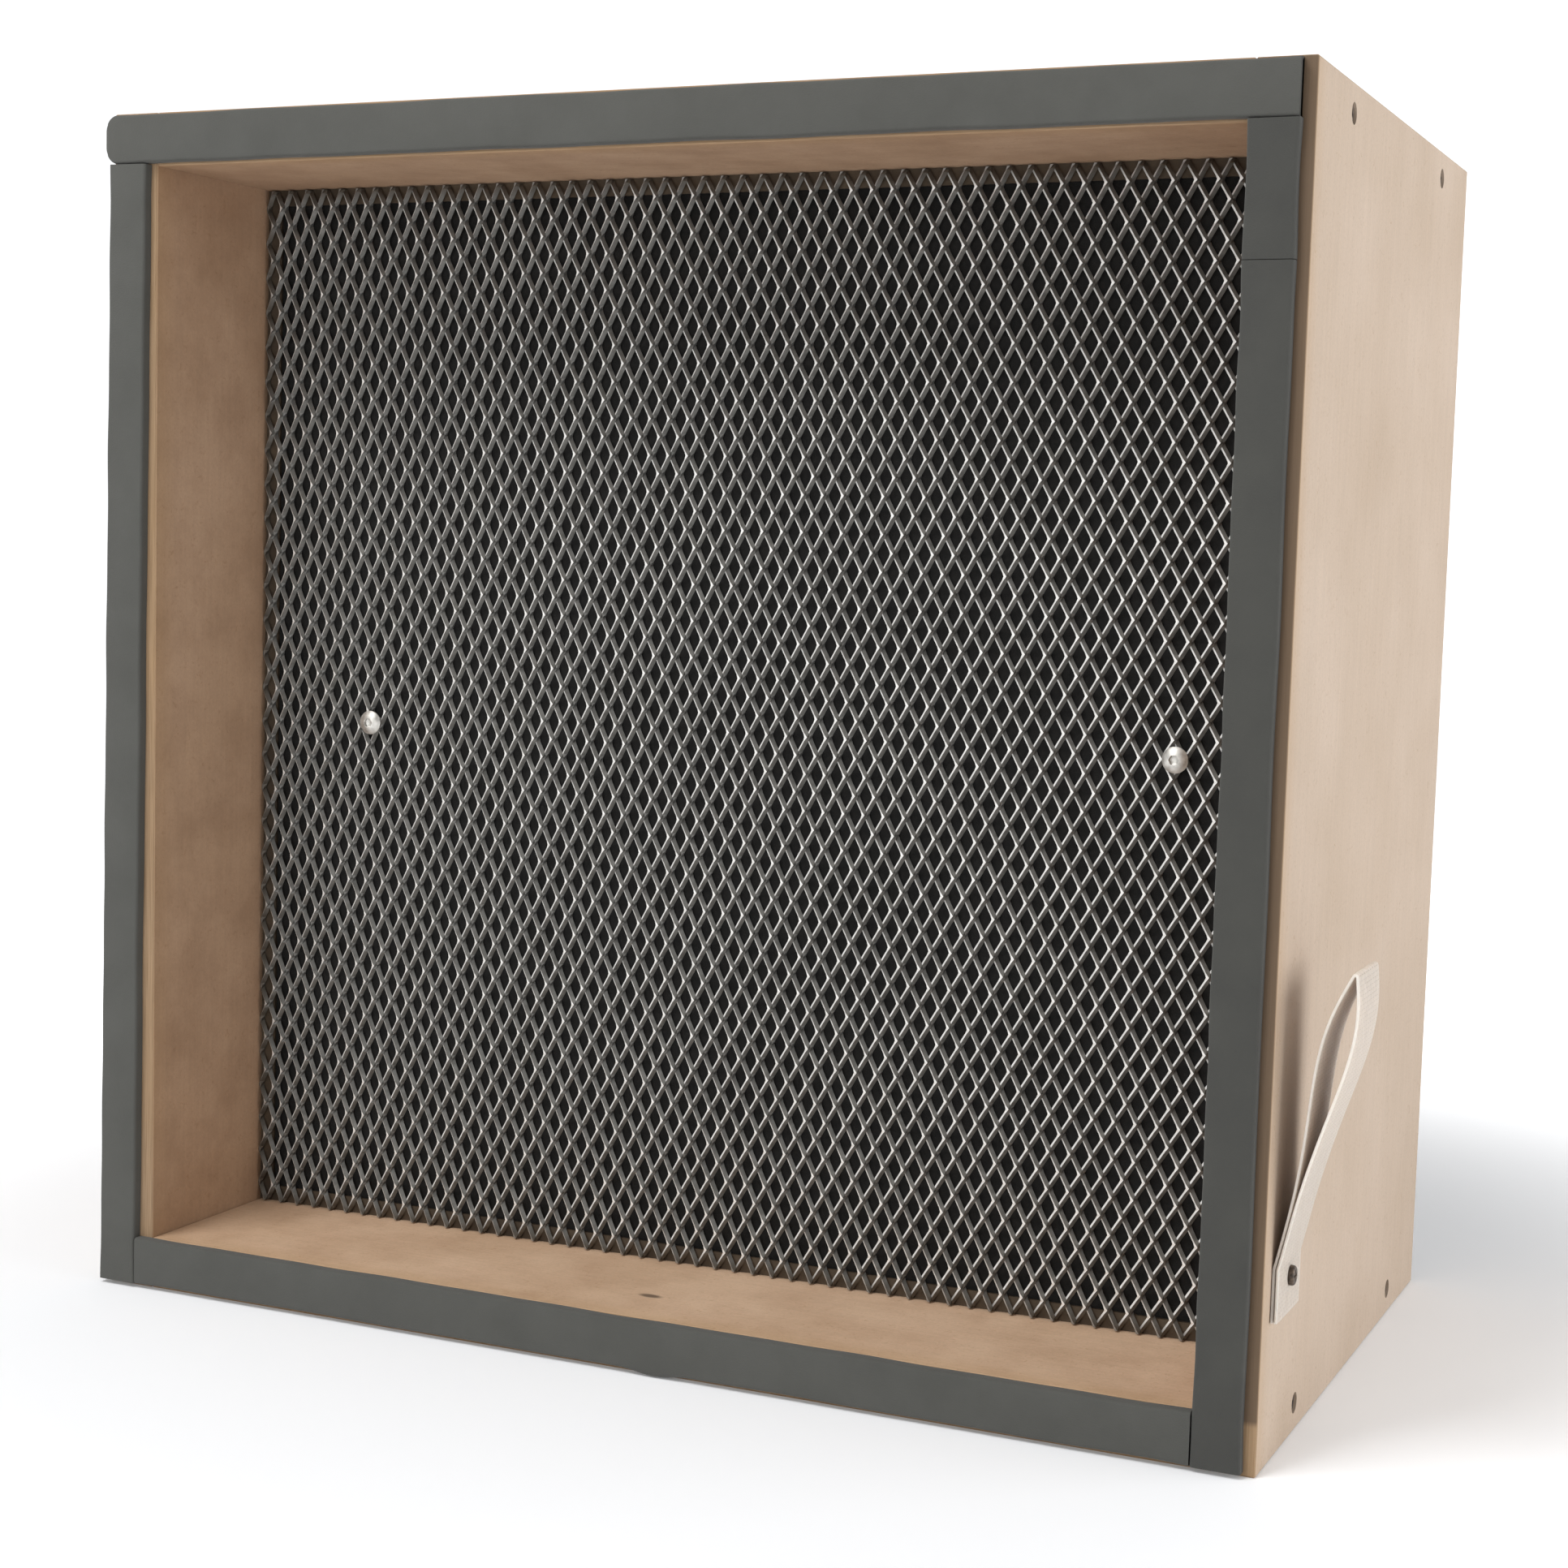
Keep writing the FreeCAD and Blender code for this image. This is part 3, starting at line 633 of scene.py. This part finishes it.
def foamStrip(name, node, start, end, width, material, spec, seed, nose=False, bulge=False):
    # the profile carried along the line from start to end; each side wanders by a sum of sines,
    # a nose is a quarter circle, a bulge a squared sine, and quarter circles dish the cut ends
    low, high = boxOf(node)
    thickness = high[1] - low[1]
    start, end = np.array(start, float), np.array(end, float)
    length = np.linalg.norm(end - start)
    along = (end - start) / length
    across = np.array([-along[1], along[0]])
    turn = np.linspace(0, math.pi / 2, 4)
    dish = spec["endDish"] - spec["endDish"] * np.sin(turn)
    narrowed = spec["endDish"] * (1 - np.cos(turn))
    count = max(8, int(length / spec["step"]))
    middle = np.linspace(0, 1, count)[1:-1] * (length - 2 * spec["endDish"]) + spec["endDish"]
    if nose:
        middle = np.sort(np.concatenate([middle, np.linspace(0.6, spec["nose"], 10)]))
    s = np.concatenate([dish, middle, length - dish[::-1]])
    pull = np.concatenate([narrowed[::-1], middle * 0, narrowed])
    random = np.random.default_rng(seed)
    waves = []
    for _ in range(3):
        phase = random.uniform(0, 2 * math.pi, 3)
        waveLength = random.uniform(*spec["waveLengths"], 3)
        waves.append(sum(np.sin(2 * math.pi * s / l + p) for l, p in zip(waveLength, phase)) / 3)
    fade = np.clip(np.minimum(s, length - s) / spec["fade"], 0, 1)
    highSide = width / 2 - pull - spec["wobble"] * (1 + waves[0]) * fade
    lowSide = width / 2 - pull - spec["wobble"] * (1 + waves[1]) * fade
    if nose:
        gone = np.clip(spec["nose"] - s, 0, spec["nose"])
        taken = spec["nose"] - np.sqrt(np.maximum(spec["nose"] ** 2 - gone ** 2, 0))
        highSide = highSide - taken
        lowSide = lowSide - taken
    if bulge:
        middleX, bulgeWidth, drop = spec["bulge"]
        x = start[0] + along[0] * s
        share = np.clip((x - middleX) / bulgeWidth + 0.5, 0, 1)
        lowSide = lowSide + drop * np.sin(math.pi * share) ** 2
    side, inset, height = foamProfile(thickness, spec["frontRound"], spec["backRound"],
                                      spec["cornerSteps"])
    reach = np.where(side[None, :] > 0, highSide[:, None], lowSide[:, None]) - inset[None, :]
    offset = side[None, :] * reach
    sink = pull * spec["endSink"] + spec["frontWobble"] * (1 + waves[2]) * fade
    atFront = height > thickness / 2
    rise = height[None, :] - np.where(atFront[None, :], sink[:, None], 0)
    place = start[None, None, :] + along * s[:, None, None] + across * offset[..., None]
    points = np.stack([place[..., 0], high[1] - rise, place[..., 1]], axis=-1)
    # both ends close in a point in their middle
    poles = [np.repeat(row.mean(axis=1, keepdims=True), points.shape[1], axis=1)
             for row in (points[:1], points[-1:])]
    points = np.concatenate([poles[0], points, poles[1]])
    quads = gridQuads(points.shape[0], points.shape[1])
    strip = makePiece(name, points, quads, material, [node], sharpAngle=50)


foamTape = foamMaterial("closedCellFoamTape", foam, foam["colour"], foam["colourDark"])
foamTapeRight = foamMaterial("closedCellFoamTapeDarker", foam, foam["rightColour"],
                             foam["rightColourDark"])
low, high = boxOf("gasket_top")
centre = (low[2] + high[2]) / 2
foamStrip("foamStripTop", "gasket_top", (low[0], centre), (high[0], centre), high[2] - low[2],
          foamTape, foam, 3, nose=True)
low, high = boxOf("gasket_left")
halfWide = foam["sideWidth"] / 2
foamStrip("foamStripLeft", "gasket_left", (low[0] + halfWide, low[2]),
          (high[0] - halfWide, high[2]), foam["sideWidth"], foamTape, foam, 5)
for name, node, seed in (("foamStripRightUpper", "gasket_right_upper", 7),
                         ("foamStripRightLower", "gasket_right_lower", 11)):
    low, high = boxOf(node)
    centre = (low[0] + high[0]) / 2
    foamStrip(name, node, (centre, low[2]), (centre, high[2]), high[0] - low[0],
              foamTapeRight, foam, seed)
low, high = boxOf("gasket_bottom")
bottomWidth = high[2] - low[2] - foam["bulge"][2]
centre = high[2] - bottomWidth / 2
foamStrip("foamStripBottom", "gasket_bottom", (low[0], centre), (high[0], centre), bottomWidth,
          foamTape, foam, 13, bulge=True)


# Filter fleece: needled polyester, charcoal. The eye sees a soft dark ground with a felted surface.

fleece = {
    "colour": "#1A1816",
    "colourDark": "#0C0B0A",
    "fibre": 0.5,
    "tuft": 3.5,
    "swell": 0.35,
    "swellWaves": 8,
    "waveLengths": (9, 60),
    "edgeDip": 0.8,
    "edgeReach": 2.5,  # cells over which the dip fades
    "cells": 96,
}


def fleeceMaterial(spec):
    # tufts give the colour, single hairs the relief
    material, tree, shader = newMaterial("needledPolyesterFleece", Roughness=1.0, IOR=1.4,
                                         Sheen_Weight=0.05, Sheen_Roughness=0.7)
    place = addNode(tree, "TexCoord").outputs["Object"]
    tuft = addNode(tree, "TexNoise", {"Scale": 1 / (spec["tuft"] * mm), "Detail": 4.0,
                                      "Roughness": 0.65}, {"Vector": place})
    hair = addNode(tree, "TexNoise", {"Scale": 1 / (spec["fibre"] * mm), "Detail": 2.0,
                                      "Distortion": 2.0}, {"Vector": place})
    tone = addNode(tree, "ValToRGB", links={"Fac": tuft},
                   stops=((0.32, spec["colourDark"]), (0.62, spec["colour"])))
    bump = addNode(tree, "Bump", {"Strength": 0.8, "Distance": 0.3 * mm}, {"Height": hair})
    joinSockets(tree, shader, {"Base Color": tone, "Normal": bump})
    return material


def fleecePad(name, node, outward, material, spec, seed):
    # a slab whose outer face swells by a sum of sines and dips to the slab's edge by a falling
    # exponential; the outer and the inner face are grids, joined by one row of walls
    low, high = boxOf(node)
    count = spec["cells"]
    u = np.linspace(0, 1, count)
    x, z = np.meshgrid(low[0] + u * (high[0] - low[0]), low[2] + u * (high[2] - low[2]),
                       indexing="ij")
    random = np.random.default_rng(seed)
    swell = np.zeros_like(x)
    for _ in range(spec["swellWaves"]):
        waveLength = random.uniform(*spec["waveLengths"])
        angle, phase = random.uniform(0, math.pi), random.uniform(0, 6.28)
        run = x * math.cos(angle) + z * math.sin(angle)
        swell += np.sin(2 * math.pi * run / waveLength + phase) / spec["swellWaves"]
    outer, inner = (low[1], high[1]) if outward < 0 else (high[1], low[1])
    toEdge = np.minimum(u, 1 - u)
    toEdge = np.minimum(toEdge[:, None], toEdge[None, :])
    face = outer - outward * spec["swell"] * (1 + swell)
    face = face - outward * spec["edgeDip"] * np.exp(-toEdge * count / spec["edgeReach"])
    front = np.stack([x, face, z], axis=-1)
    back = np.stack([x, np.full_like(x, inner), z], axis=-1)
    points = np.concatenate([front.reshape(-1, 3), back.reshape(-1, 3)])
    sheet = gridQuads(count, count, wrapColumns=False)
    rim = np.concatenate([np.arange(count), count - 1 + np.arange(1, count) * count,
                          count * count - 1 - np.arange(1, count),
                          (count - 1 - np.arange(1, count - 1)) * count])
    following = np.roll(rim, -1)
    walls = np.stack([rim, following, following + count * count, rim + count * count], axis=-1)
    quads = np.concatenate([sheet, sheet[:, ::-1] + count * count, walls])
    pad = makePiece(name, points, quads, material, [node], sharpAngle=60)


needledFleece = fleeceMaterial(fleece)
fleecePad("frontFleecePad", "front_fleece", -1, needledFleece, fleece, 21)
fleecePad("rearFleecePad", "rear_fleece", 1, needledFleece, fleece, 22)


# Activated carbon: crushed and sieved granules.
# The eye would see near-black grains with dull glints.

# grains painted paler in their middles and darker between them, as painted shade
carbon = {"colour": "#1C1B1A", "colourLitMiddle": "#33312F", "grain": 3.5}


def carbonMaterial(spec):
    # each cell is a grain, high in its middle and low between the grains; its colour is painted
    # paler in the middle and darker between the grains, as painted shade between the grains
    material, tree, shader = newMaterial("crushedActivatedCarbon", Roughness=0.7, IOR=1.6)
    place = addNode(tree, "TexCoord").outputs["Object"]
    grain = addNode(tree, "TexVoronoi", {"Scale": 1 / (spec["grain"] * mm)}, {"Vector": place})
    tone = addNode(tree, "ValToRGB", links={"Fac": grain},
                   stops=((0.0, spec["colourLitMiddle"]), (1.0, spec["colour"])))
    bump = addNode(tree, "Bump", {"Strength": 1.0, "Distance": 1.0 * mm}, {"Height": grain},
                   invert=True)
    joinSockets(tree, shader, {"Base Color": tone, "Normal": bump})
    return material


dressNode("carbon_bed", carbonMaterial(carbon))


# Bolts and screws: turned or cold headed steel, each a stack of rings round its own axis.
# The eye sees zinc plating as pale grey with a soft shine, phosphate as brown black, worn paler.

fixings = {
    "zinc": {"unmarked": "#DDDBD6", "dull": "#BBB9B3", "metallic": 0.85, "roughness": 0.46,
             "grain": 2.0},
    "phosphate": {"unmarked": "#3A332E", "dull": "#6A5C50", "metallic": 0.6, "roughness": 0.5,
                  "grain": 1.2},
    "sides": 48,
    "crossSides": 96,
    "boltHead": (9.0, 2.6, 0.7),  # diameter, height, straight rim
    "boltShank": 5.0,
    "socket": (3.0, 1.5),  # across flats, depth
    "threadPitch": 0.8,
    "threadDepth": 0.4,
    "threadLength": 9.0,
    "nut": (8.0, 4.0),
    "nutSlope": 28,  # degrees of the cone that cuts its corners back
    "panHead": (6.5, 1.8),
    "panShank": (4.0, 18.0),
    "cross": (1.9, 0.42, 1.1),  # arm length, half width, depth
    "connector": (6.4, 46.0),  # diameter, length
    "connectorSocket": (3.0, 2.0),
}


def metalMaterial(name, spec):
    # clouds shift the colour from dull to clean and the roughness with it
    material, tree, shader = newMaterial(name, Metallic=spec["metallic"])
    place = addNode(tree, "TexCoord").outputs["Object"]
    cloud = addNode(tree, "TexNoise", {"Scale": 1 / (spec["grain"] * mm), "Detail": 4.0},
                    {"Vector": place})
    tone = addNode(tree, "ValToRGB", links={"Fac": cloud},
                   stops=((0.35, spec["dull"]), (0.65, spec["unmarked"])))
    rough = addNode(tree, "MapRange", {"To Min": spec["roughness"] - 0.08,
                                       "To Max": spec["roughness"] + 0.12}, {"Value": cloud})
    joinSockets(tree, shader, {"Base Color": tone, "Roughness": rough})
    return material


def polygonRadius(turn, acrossFlats, corners):
    # distance to the side of a regular polygon in each direction
    wedge = 2 * math.pi / corners
    return acrossFlats / 2 / np.cos((turn + wedge / 2) % wedge - wedge / 2)


def crossRadius(turn, length, halfWidth):
    # distance to the outline of a plus sign: the farther of its two bars in each direction
    c = np.maximum(np.abs(np.cos(turn)), 1e-6)
    s = np.maximum(np.abs(np.sin(turn)), 1e-6)
    return np.maximum(np.minimum(length / c, halfWidth / s), np.minimum(halfWidth / c, length / s))


def ringStack(rings, turn, base, axis, closed=False):
    # rings of (radius, height), each a number or one value per direction, set round an axis at a
    # base; height counts back along the axis, so a head stands at negative heights
    radius, height = (np.stack([np.broadcast_to(np.asarray(ring[part], float), turn.shape)
                                for ring in rings]) for part in (0, 1))
    axis = np.array(axis, float)
    first = np.array([0.0, 0.0, 1.0])
    second = np.cross(axis, first)
    points = (np.array(base, float) + height[..., None] * axis
              + (radius * np.cos(turn))[..., None] * first
              + (radius * np.sin(turn))[..., None] * second)
    return points.reshape(-1, 3), gridQuads(len(rings), len(turn), wrapRows=closed)


def mergeStacks(stacks):
    # one point list and one quad list for several stacks
    offset, points, quads = 0, [], []
    for somePoints, someQuads in stacks:
        points.append(somePoints)
        quads.append(someQuads + offset)
        offset += len(somePoints)
    return np.concatenate(points), np.concatenate(quads)


def domeBolt(base, length, turn, spec):
    # dome head from a spherical arc, socket walls, rim, shank, then a thread: the radius falls and
    # rises as a triangle wave of height and direction, so the ridge runs as a helix
    diameter, height, rim = spec["boltHead"]
    flats, depth = spec["socket"]
    rise = height - rim
    sphere = ((diameter / 2) ** 2 + rise ** 2) / (2 * rise)
    socket = polygonRadius(turn, flats, 6)

    def domeHeight(radius):
        return -rim - (np.sqrt(sphere ** 2 - radius ** 2) - (sphere - rise))

    rings = [(0.0, -height + depth + 0.35), (socket * 0.95, -height + depth),
             (socket, -height + depth - 0.05), (socket, domeHeight(socket) + 0.15),
             (socket + 0.15, domeHeight(socket + 0.15))]
    for share in np.linspace(0.0, 1.0, 9)[1:]:
        radius = (socket + 0.15) * (1 - share) + diameter / 2 * share
        rings.append((radius, domeHeight(np.minimum(radius, diameter / 2 - 1e-6))))
    shank, pitch = spec["boltShank"] / 2, spec["threadPitch"]
    threadStart = length - spec["threadLength"]
    rings += [(diameter / 2, -0.12), (diameter / 2 - 0.12, 0.0), (shank, 0.0),
              (shank, threadStart - pitch)]
    for level in np.arange(threadStart, length - 0.4, pitch / 8):
        wave = np.abs(((level / pitch - turn / (2 * math.pi)) % 1) * 2 - 1)
        fade = min(1.0, (level - threadStart) / pitch)
        rings.append((shank - spec["threadDepth"] * wave * fade, level))
    core = shank - spec["threadDepth"]
    rings += [(core - 0.05, length - 0.3), (core - 0.35, length), (0.0, length)]
    return ringStack(rings, turn, base, (0, 1, 0))


def chamferedNut(base, turn, spec):
    # hexagon whose corners are cut back by a cone, and a bore with a countersunk mouth
    flats, thickness = spec["nut"]
    bore = spec["boltShank"] / 2 + 0.1
    hexagon = polygonRadius(turn, flats, 6)
    cut = np.maximum(hexagon - flats / 2 * 0.97, 0) * math.tan(math.radians(spec["nutSlope"]))
    rings = [(bore, thickness - 0.4), (bore + 0.4, thickness), (flats / 2 * 0.95, thickness),
             (hexagon, thickness - cut), (hexagon, cut), (flats / 2 * 0.95, 0.0),
             (bore + 0.4, 0.0), (bore, 0.4)]
    return ringStack(rings, turn, base, (0, 1, 0), closed=True)


def panScrew(base, turn, spec, seat):
    # low rounded head with a tapering cross recess, then a plain shank
    diameter, height = spec["panHead"]
    shank, length = spec["panShank"]
    arm, half, depth = spec["cross"]
    outline = crossRadius(turn, arm, half)
    top = -seat - height
    rings = [(0.0, top + depth), (outline * 0.45, top + depth * 0.9),
             (outline * 0.93, top + depth * 0.25), (outline, top + 0.02),
             (np.maximum(outline, arm * 0.75) + 0.12, top)]
    rings += [(diameter / 2 * (0.8 + 0.2 * math.sin(a)), top + height * 0.62 * (1 - math.cos(a)))
              for a in np.linspace(0.1, math.pi / 2, 7)]
    rings += [(diameter / 2, -seat - 0.1), (diameter / 2 - 0.1, -seat), (shank / 2, -seat),
              (shank / 2, length - seat - 3.0), (0.3, length - seat), (0.0, length - seat)]
    return ringStack(rings, turn, base, (-1, 0, 0))


def connectorScrew(base, side, turn, spec):
    # parallel head with a hexagon socket, a small bevel, and a body that stays in the boards
    diameter, length = spec["connector"]
    flats, depth = spec["connectorSocket"]
    socket = polygonRadius(turn, flats, 6)
    rings = [(0.0, depth + 0.4), (socket * 0.96, depth), (socket, 0.1), (socket + 0.1, 0.0),
             (diameter / 2 - 0.35, 0.0), (diameter / 2, 0.35), (diameter / 2, length - 2.0),
             (1.2, length), (0.0, length)]
    return ringStack(rings, turn, base, (-side, 0, 0))


turn, crossTurn = (np.linspace(0, 2 * math.pi, fixings[key], endpoint=False)
                   for key in ("sides", "crossSides"))
zinc = metalMaterial("zincPlatedSteel", fixings["zinc"])
phosphate = metalMaterial("phosphatedScrewSteel", fixings["phosphate"])
sheetFront = boxOf("front_mesh")[0][1]
boltAxes = []
for name, node in (("leftDomeBolt", "left_tie_bolt"), ("rightDomeBolt", "right_tie_bolt")):
    low, high = boxOf(node)
    x, z = (low[0] + high[0]) / 2, (low[2] + high[2]) / 2
    boltAxes.append((x, z))
    points, quads = domeBolt((x, sheetFront, z), high[1] - sheetFront, turn, fixings)
    makePiece(name, points, quads, zinc, [node])
nutFront = boxOf("tie_nuts")[0][1]
points, quads = mergeStacks([chamferedNut((x, nutFront, z), turn, fixings) for x, z in boltAxes])
makePiece("chamferedNuts", points, quads, zinc, ["tie_nuts"], sharpAngle=25)
dressNode("tie_washers", zinc)
low, high = boxOf("strap_screw")
strapSeat = high[0] - cadCase["halfWidth"] - fixings["panHead"][1]
points, quads = panScrew((cadCase["halfWidth"], (low[1] + high[1]) / 2, (low[2] + high[2]) / 2),
                         crossTurn, fixings, strapSeat)
makePiece("panHeadStrapScrew", points, quads, phosphate, ["strap_screw"],
          sharpAngle=40)
low, high = boxOf("corner_screws")
radius = fixings["connector"][0] / 2
points, quads = mergeStacks([connectorScrew((side * high[0], y, z), side, turn, fixings)
                             for side in (-1, 1) for y in (low[1] + radius, high[1] - radius)
                             for z in (low[2] + radius, high[2] - radius)])
makePiece("connectorScrews", points, quads, phosphate, ["corner_screws"],
          sharpAngle=40)


# Pull loop: polypropylene webbing, plain woven and folded in two under its screw.
# The eye sees an off-white ribbon with close lengthwise ribs, with a painted highlight along its
# selvedges.

loop = {
    "width": 30.0,
    "thickness": 1.2,
    "bend": 64.0,  # height where the plies leave the board
    "tip": 158.0,
    "tipOut": 21.5,
    "leanPower": 0.97,
    "opening": 8.2,  # widest gap between the plies
    "openFrom": 0.15,
    "openPower": 2.0,
    "plyGap": 0.05,
    "rounding": 0.35,  # power that squares the ribbon's rounded profile
    "rib": 1.5,
    "float": 3.0,
    "colour": "#D3C4B5",
    # the dark colour is painted shade in the dips between the floats
    "colourDark": "#B2A292",
    "colourSecond": "#CABAAB",
    # a paler band painted along both selvedges as a painted highlight
    "selvedgeHighlight": "#DDD2C6",
    "selvedgeHighlightBand": (1.4, 0.3),  # mm from the ribbon's side, where it starts and is full
}


def webbingMaterial(spec):
    # a brick pattern on the ribbon's own map: each brick is one float of the warp, the mortar the
    # dip between floats, painted darker as painted shade; the selvedges are painted paler as a
    # painted highlight
    material, tree, shader = newMaterial(
        "wovenPolypropyleneWebbing", Roughness=0.62, IOR=1.49, Sheen_Weight=0.3,
        Sheen_Roughness=0.4, Subsurface_Weight=1.0, Subsurface_Radius=(1.0, 0.95, 0.9),
        Subsurface_Scale=4.0 * mm)
    along = addNode(tree, "UVMap")
    weave = addNode(tree, "TexBrick", {
        "Scale": 1.0, "Mortar Size": 0.16 * mm, "Mortar Smooth": 1.0,
        "Brick Width": spec["float"] * mm, "Row Height": spec["rib"] * mm,
        "Color1": hexColour(spec["colour"]), "Color2": hexColour(spec["colourSecond"]),
        "Mortar": hexColour(spec["colourDark"])}, {"Vector": along}, offset=0.5)
    bump = addNode(tree, "Bump", {"Strength": 0.9, "Distance": 0.25 * mm},
                   {"Height": weave.outputs["Fac"]}, invert=True)
    across = addNode(tree, "SeparateXYZ", links={0: along}).outputs["Y"]
    begin, full = (spec["width"] / 2 - inset for inset in spec["selvedgeHighlightBand"])
    selvedgeHighlight = addNode(tree, "MapRange", {"From Min": begin * mm, "From Max": full * mm},
                       {"Value": distanceFrom(tree, 0, across)})
    colour = addNode(tree, "Mix", {7: hexColour(spec["selvedgeHighlight"])},
                     {"Factor": selvedgeHighlight, 6: weave}, data_type="RGBA")
    joinSockets(tree, shader, {"Base Color": colour, "Normal": bump})
    return material


def webbingLoop(spec, material):
    # a flat profile with rounded selvedges carried up the outer ply, over the fold and down the
    # inner one; the plies part by a sine of a power of the height and lean out by another power
    low, high = boxOf("pull_strap")
    wall = cadCase["halfWidth"]
    thick = spec["thickness"]
    share = np.linspace(0, 1, 60)
    base = thick + spec["plyGap"] / 2
    leaning = base + (spec["tipOut"] - base) * share ** spec["leanPower"]
    opened = np.clip((share - spec["openFrom"]) / (1 - spec["openFrom"]), 0, 1)
    gap = spec["opening"] * np.sin(math.pi * opened ** spec["openPower"]) + spec["plyGap"]
    half = (gap + thick) / 2
    foot = np.linspace(low[2], spec["bend"], 9)[:-1]
    outerX, innerX = (
        np.concatenate([np.full(len(foot), wall + leaning[0] + side * half[0]),
                        wall + leaning + side * half]) for side in (1, -1))
    rise = np.concatenate([foot, spec["bend"] + (spec["tip"] - spec["bend"]) * share])
    fold = np.linspace(0, math.pi, 9)[1:-1]
    foldX = wall + spec["tipOut"] + thick / 2 * np.cos(fold)
    foldZ = spec["tip"] + thick / 2 * np.sin(fold)
    pathX = np.concatenate([outerX, foldX, innerX[::-1]])
    pathZ = np.concatenate([rise, foldZ, rise[::-1]])
    stepX, stepZ = np.gradient(pathX), np.gradient(pathZ)
    size = np.hypot(stepX, stepZ)
    normalX, normalZ = stepZ / size, -stepX / size
    run = np.concatenate([[0], np.cumsum(np.hypot(np.diff(pathX), np.diff(pathZ)))])
    around = np.linspace(0, 2 * math.pi, 40, endpoint=False)
    flat, off = (np.sign(wave) * np.abs(wave) ** spec["rounding"] * wide / 2
                 for wave, wide in ((np.cos(around), spec["width"]), (np.sin(around), thick)))
    y = (low[1] + high[1]) / 2 + flat
    points = np.stack([pathX[:, None] + normalX[:, None] * off, y[None, :] + 0 * pathX[:, None],
                       pathZ[:, None] + normalZ[:, None] * off], axis=-1)
    uv = np.stack([run[:, None] + 0 * flat[None, :], flat[None, :] + 0 * run[:, None]],
                  axis=-1) * mm
    # both cut ends close in a point in their middle
    ends = [np.repeat(row.mean(axis=1, keepdims=True), len(around), axis=1)
            for row in (points[:1], points[-1:])]
    points = np.concatenate([ends[0], points, ends[1]])
    uv = np.concatenate([uv[:1], uv, uv[-1:]])
    makePiece("webbingPullLoop", points, gridQuads(len(points), len(around)), material,
              ["pull_strap"], uv=uv.reshape(-1, 2), sharpAngle=50)


webbingLoop(loop, webbingMaterial(loop))
